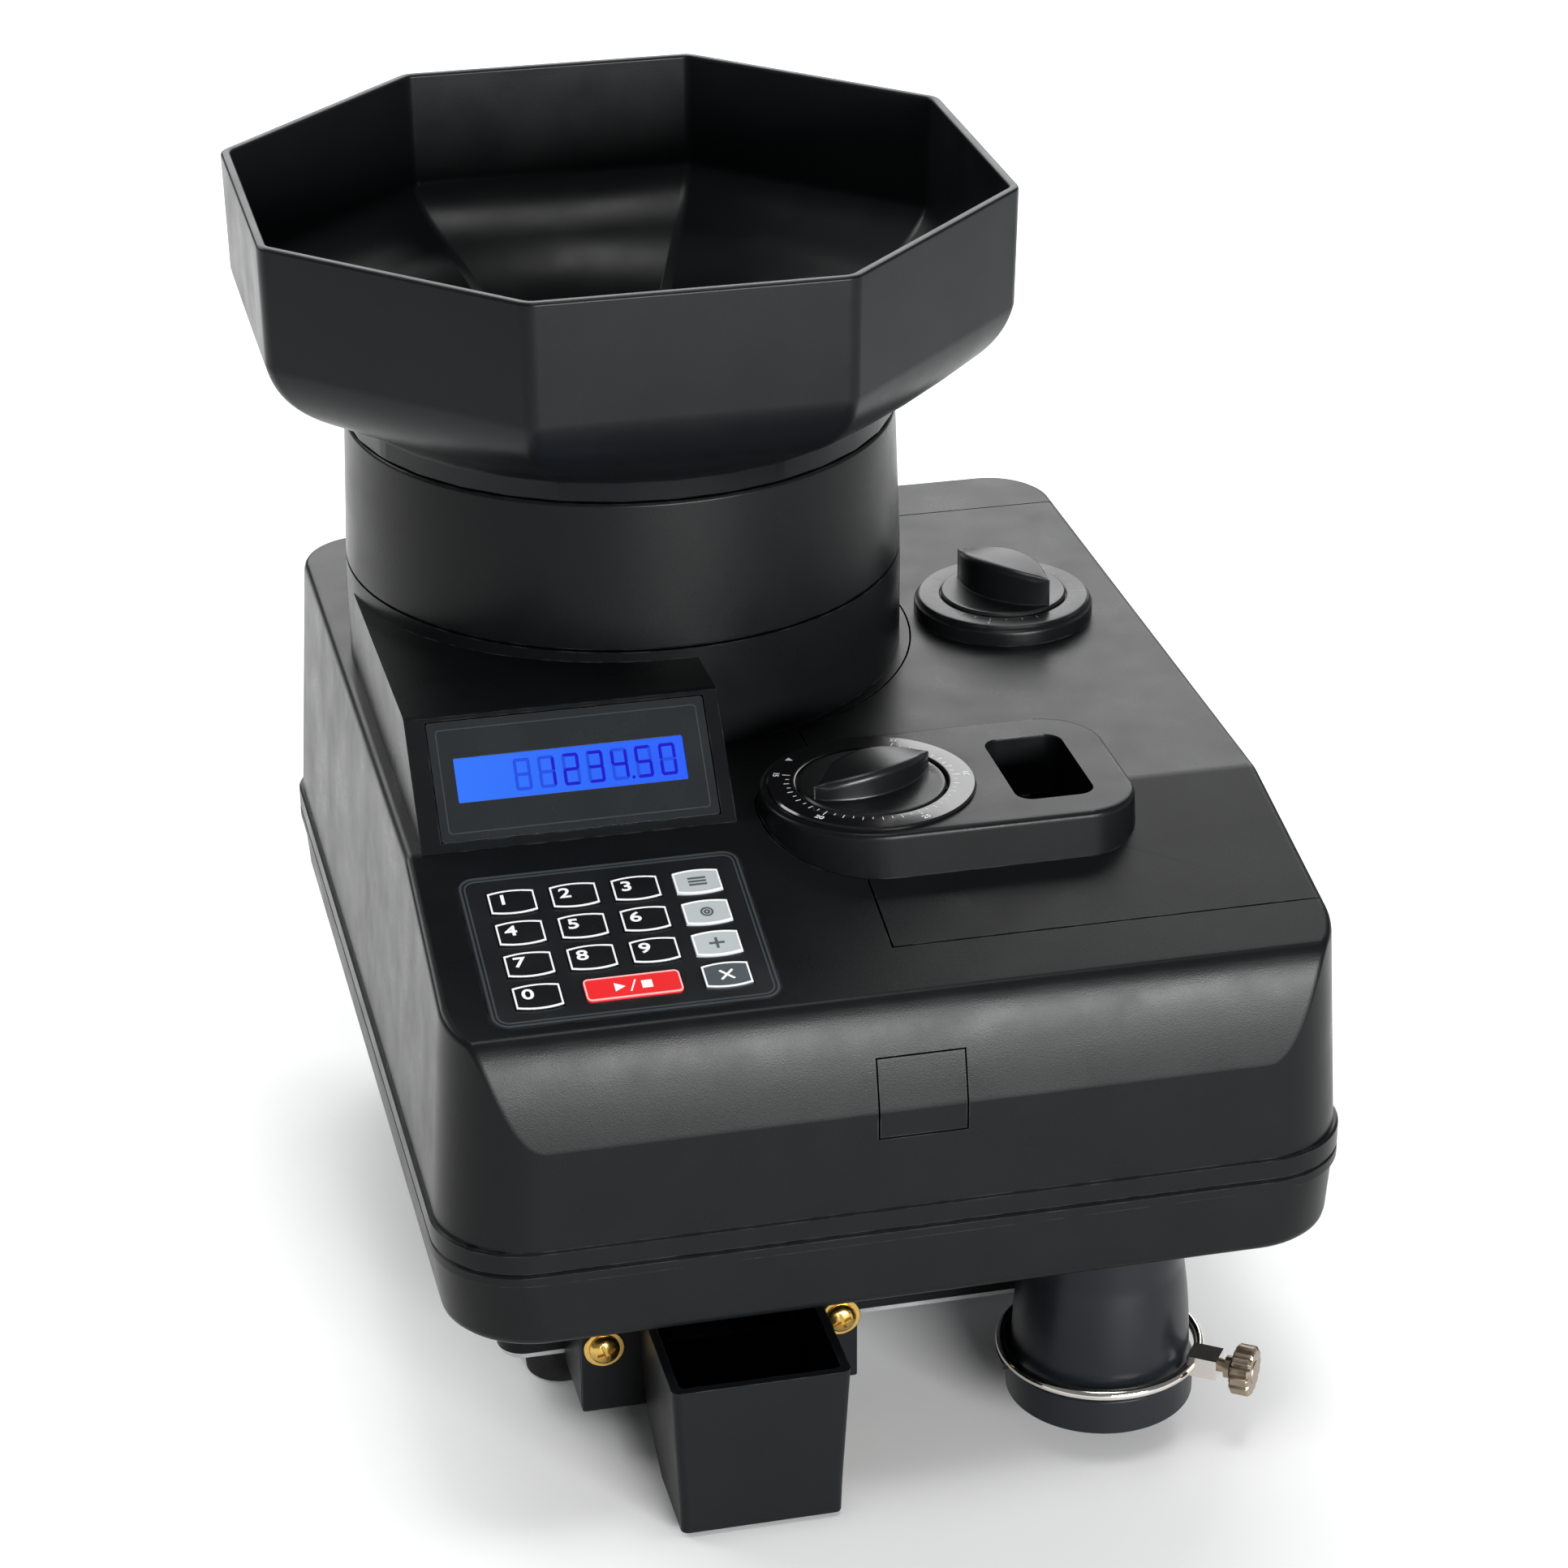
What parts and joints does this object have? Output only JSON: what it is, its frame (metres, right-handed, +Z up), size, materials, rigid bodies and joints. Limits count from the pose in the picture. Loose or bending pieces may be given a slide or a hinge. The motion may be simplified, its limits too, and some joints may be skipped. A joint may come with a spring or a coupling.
{
  "type": "coin sorting machine",
  "caption": "Countertop coin counter and sorter with an octagonal hopper, coin disc, hinged transport lid with two setting dials, keypad, display, reject box and spout.",
  "frame": {"origin": "on the table under the middle of the overall box, drum axis 27 mm left and 60 mm behind", "axes": "+X to the machine's right as the user sees it, -Y towards the user, +Z up"},
  "size_m": [0.2831, 0.347, 0.3327],
  "materials": {
    "housing_black": "satin moulded plastic, fine grain",
    "base_black": "satin moulded plastic, fine grain",
    "hopper_black": "satin moulded plastic",
    "gloss_black": "gloss",
    "window_tint": "semi-gloss printed panel",
    "lcd_blue": "backlit display",
    "circuit_green": "solder mask",
    "keypad_film": "printed film, semi-gloss",
    "key_black": "semi-gloss",
    "key_red": "semi-gloss",
    "key_grey": "semi-gloss",
    "key_slate": "semi-gloss",
    "knob_black": "satin",
    "chute_black": "satin",
    "spout_black": "satin",
    "foot_rubber": "matte",
    "belt_rubber": "matte",
    "feed_rubber": "matte",
    "steel": "brushed",
    "disc_steel": "turned",
    "chrome": "polished",
    "aluminium": "cast",
    "brass": "passivated",
    "bronze": "knurled",
    "motor_grey": "painted",
    "pale_nylon": "satin"
  },
  "bodies": {
    "base": {"base_shell": "base_black", "plinth": "base_black", "bottom_plate": "steel", "rubber_feet": "foot_rubber", "top_housing": "housing_black", "display_window": "window_tint", "lcd_module": "lcd_blue", "keypad_overlay": "keypad_film", "keypad_board": "circuit_green", "lid_hinge_pins": "steel", "hinge_brackets": "steel", "drum_ring": "housing_black", "deck_plate": "steel", "drum_guard": "aluminium", "bearing_housing": "aluminium", "drive_belt": "belt_rubber", "main_motor": "motor_grey", "motor_bracket": "steel", "feed_belt": "feed_rubber", "feed_bracket": "aluminium", "reject_chute": "chute_black", "reject_box": "chute_black", "reject_box_screws": "brass", "coin_spout": "spout_black", "bag_ring": "chrome", "main_board": "circuit_green", "power_supply": "motor_grey"},
    "lid": {"right_lid": "housing_black", "diameter_scale": "gloss_black", "thickness_scale": "knob_black"},
    "latch": {"latch_button": "knob_black"},
    "hopper_bowl": {"hopper": "hopper_black"},
    "diameter_dial": {"diameter_knob": "knob_black"},
    "gauge": {"width_gauge": "aluminium"},
    "thickness_dial": {"thickness_knob": "knob_black"},
    "gate": {"thickness_gate": "aluminium"},
    "disc": {"coin_disc": "disc_steel", "disc_shaft": "steel", "disc_pulley": "chute_black"},
    "motor_rotor": {"motor_pulley": "chute_black"},
    "front_roller": {"feed_roller_front": "chrome"},
    "rear_roller": {"feed_roller_rear": "chrome"},
    "counter": {"star_wheel": "pale_nylon"},
    "switch": {"power_switch": "knob_black"},
    "clamp_screw": {"thumb_screw": "bronze"},
    "key_1": {"key_1": "key_black"},
    "key_2": {"key_2": "key_black"},
    "key_3": {"key_3": "key_black"},
    "key_4": {"key_4": "key_black"},
    "key_5": {"key_5": "key_black"},
    "key_6": {"key_6": "key_black"},
    "key_7": {"key_7": "key_black"},
    "key_8": {"key_8": "key_black"},
    "key_9": {"key_9": "key_black"},
    "key_0": {"key_0": "key_black"},
    "key_start": {"key_start": "key_red"},
    "key_memory": {"key_memory": "key_grey"},
    "key_batch": {"key_batch": "key_grey"},
    "key_add": {"key_add": "key_grey"},
    "key_clear": {"key_clear": "key_slate"}
  },
  "joints": [
    {"name": "lid_hinge", "type": "hinge", "parent": "base", "child": "lid", "pos_m": [0.137, 0.01, 0.1605], "axis": [0, 1, 0], "range_deg": [0, 95]},
    {"name": "latch_press", "type": "slide", "parent": "base", "child": "latch", "axis": [0, 1, 0], "range_m": [0, 0.004], "stiffness_N_per_m": 400, "springref_m": -0.003},
    {"name": "hopper_lift", "type": "slide", "parent": "base", "child": "hopper_bowl", "axis": [0, 0, 1], "range_m": [0, 0.06]},
    {"name": "diameter_turn", "type": "hinge", "parent": "lid", "child": "diameter_dial", "pos_m": [0.019, -0.075, 0.185], "axis": [0, 0, 1], "range_deg": [-55, 217]},
    {"name": "gauge_slide", "type": "slide", "parent": "lid", "child": "gauge", "axis": [1, 0, 0], "range_m": [-0.0165, 0.0045]},
    {"name": "thickness_turn", "type": "hinge", "parent": "lid", "child": "thickness_dial", "pos_m": [0.094, 0.05, 0.185], "axis": [0, 0, 1], "range_deg": [-100, 170]},
    {"name": "gate_slide", "type": "slide", "parent": "lid", "child": "gate", "axis": [0, 0, 1], "range_m": [-0.0012, 0.002]},
    {"name": "disc_spin", "type": "hinge", "parent": "base", "child": "disc", "pos_m": [-0.027, 0.06, 0.15], "axis": [0, 0, -1], "continuous": true},
    {"name": "motor_spin", "type": "hinge", "parent": "base", "child": "motor_rotor", "pos_m": [-0.062, 0.092, 0.11], "axis": [0, 0, -1], "continuous": true},
    {"name": "front_roller_spin", "type": "hinge", "parent": "base", "child": "front_roller", "pos_m": [0.07, -0.032, 0.1605], "axis": [1, 0, 0], "continuous": true},
    {"name": "rear_roller_spin", "type": "hinge", "parent": "base", "child": "rear_roller", "pos_m": [0.07, 0.044, 0.1605], "axis": [1, 0, 0], "continuous": true},
    {"name": "counter_spin", "type": "hinge", "parent": "base", "child": "counter", "pos_m": [0.098, -0.112, 0.153], "axis": [0, 0, 1], "continuous": true},
    {"name": "switch_rock", "type": "hinge", "parent": "base", "child": "switch", "pos_m": [0.045, 0.124, 0.04], "axis": [1, 0, 0], "range_deg": [-16, 0]},
    {"name": "clamp_turn", "type": "hinge", "parent": "base", "child": "clamp_screw", "pos_m": [0.074, -0.136, 0.024], "axis": [0.8192, -0.5736, 0], "range_deg": [0, 720]},
    {"name": "key_1_press", "type": "slide", "parent": "base", "child": "key_1", "axis": [0, 0.2394, -0.9709], "range_m": [0, 0.0005], "stiffness_N_per_m": 600, "springref_m": -0.0005},
    {"name": "key_2_press", "type": "slide", "parent": "base", "child": "key_2", "axis": [0, 0.2394, -0.9709], "range_m": [0, 0.0005], "stiffness_N_per_m": 600, "springref_m": -0.0005},
    {"name": "key_3_press", "type": "slide", "parent": "base", "child": "key_3", "axis": [0, 0.2394, -0.9709], "range_m": [0, 0.0005], "stiffness_N_per_m": 600, "springref_m": -0.0005},
    {"name": "key_4_press", "type": "slide", "parent": "base", "child": "key_4", "axis": [0, 0.2394, -0.9709], "range_m": [0, 0.0005], "stiffness_N_per_m": 600, "springref_m": -0.0005},
    {"name": "key_5_press", "type": "slide", "parent": "base", "child": "key_5", "axis": [0, 0.2394, -0.9709], "range_m": [0, 0.0005], "stiffness_N_per_m": 600, "springref_m": -0.0005},
    {"name": "key_6_press", "type": "slide", "parent": "base", "child": "key_6", "axis": [0, 0.2394, -0.9709], "range_m": [0, 0.0005], "stiffness_N_per_m": 600, "springref_m": -0.0005},
    {"name": "key_7_press", "type": "slide", "parent": "base", "child": "key_7", "axis": [0, 0.2394, -0.9709], "range_m": [0, 0.0005], "stiffness_N_per_m": 600, "springref_m": -0.0005},
    {"name": "key_8_press", "type": "slide", "parent": "base", "child": "key_8", "axis": [0, 0.2394, -0.9709], "range_m": [0, 0.0005], "stiffness_N_per_m": 600, "springref_m": -0.0005},
    {"name": "key_9_press", "type": "slide", "parent": "base", "child": "key_9", "axis": [0, 0.2394, -0.9709], "range_m": [0, 0.0005], "stiffness_N_per_m": 600, "springref_m": -0.0005},
    {"name": "key_0_press", "type": "slide", "parent": "base", "child": "key_0", "axis": [0, 0.2394, -0.9709], "range_m": [0, 0.0005], "stiffness_N_per_m": 600, "springref_m": -0.0005},
    {"name": "key_start_press", "type": "slide", "parent": "base", "child": "key_start", "axis": [0, 0.2394, -0.9709], "range_m": [0, 0.0005], "stiffness_N_per_m": 600, "springref_m": -0.0005},
    {"name": "key_memory_press", "type": "slide", "parent": "base", "child": "key_memory", "axis": [0, 0.2394, -0.9709], "range_m": [0, 0.0005], "stiffness_N_per_m": 600, "springref_m": -0.0005},
    {"name": "key_batch_press", "type": "slide", "parent": "base", "child": "key_batch", "axis": [0, 0.2394, -0.9709], "range_m": [0, 0.0005], "stiffness_N_per_m": 600, "springref_m": -0.0005},
    {"name": "key_add_press", "type": "slide", "parent": "base", "child": "key_add", "axis": [0, 0.2394, -0.9709], "range_m": [0, 0.0005], "stiffness_N_per_m": 600, "springref_m": -0.0005},
    {"name": "key_clear_press", "type": "slide", "parent": "base", "child": "key_clear", "axis": [0, 0.2394, -0.9709], "range_m": [0, 0.0005], "stiffness_N_per_m": 600, "springref_m": -0.0005}
  ],
  "couplings": [
    {"joint": "gauge_slide", "follows": "diameter_turn", "m_per_rad": -0.0042},
    {"joint": "gate_slide", "follows": "thickness_turn", "m_per_rad": 0.000637},
    {"joint": "motor_spin", "follows": "disc_spin", "ratio": 3},
    {"joint": "front_roller_spin", "follows": "disc_spin", "ratio": 4},
    {"joint": "rear_roller_spin", "follows": "disc_spin", "ratio": 4}
  ]
}
